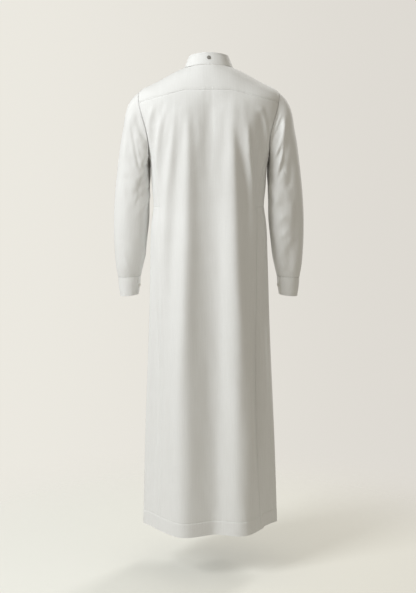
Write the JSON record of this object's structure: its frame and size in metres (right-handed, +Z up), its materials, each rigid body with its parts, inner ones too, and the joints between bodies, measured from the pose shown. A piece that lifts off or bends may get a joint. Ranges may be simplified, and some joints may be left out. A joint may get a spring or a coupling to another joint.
{
  "type": "thobe robe",
  "caption": "Long straight white robe with a stand collar, back yoke, set-in long sleeves with cuffs, side gores and a neck placket, worn as one garment.",
  "frame": {"origin": "middle of the neck opening, level with the side of the neck, where the wearer's neck and shoulders carry the robe", "axes": "+Z up along the robe's length, -Y to the wearer's front, +X to the wearer's left"},
  "size_m": [0.6008, 0.3315, 1.5024],
  "materials": {
    "cloth": "fine plain weave, slight sheen",
    "button": "pearly, polished",
    "stud": "dull grey"
  },
  "bodies": {
    "root": {"back_yoke": "cloth", "back_panel": "cloth", "front_panel": "cloth", "front_placket": "cloth", "underarm_gusset_left": "cloth", "underarm_gusset_right": "cloth", "side_panel_left": "cloth", "side_panel_right": "cloth", "sleeve_left": "cloth", "sleeve_right": "cloth", "cuff_left": "cloth", "cuff_right": "cloth", "collar": "cloth", "collar_button": "button", "placket_button_1": "button", "placket_button_2": "button", "placket_button_3": "button", "placket_button_4": "button", "cuff_button_left": "button", "cuff_button_right": "button", "collar_back_stud": "stud"}
  },
  "joints": []
}
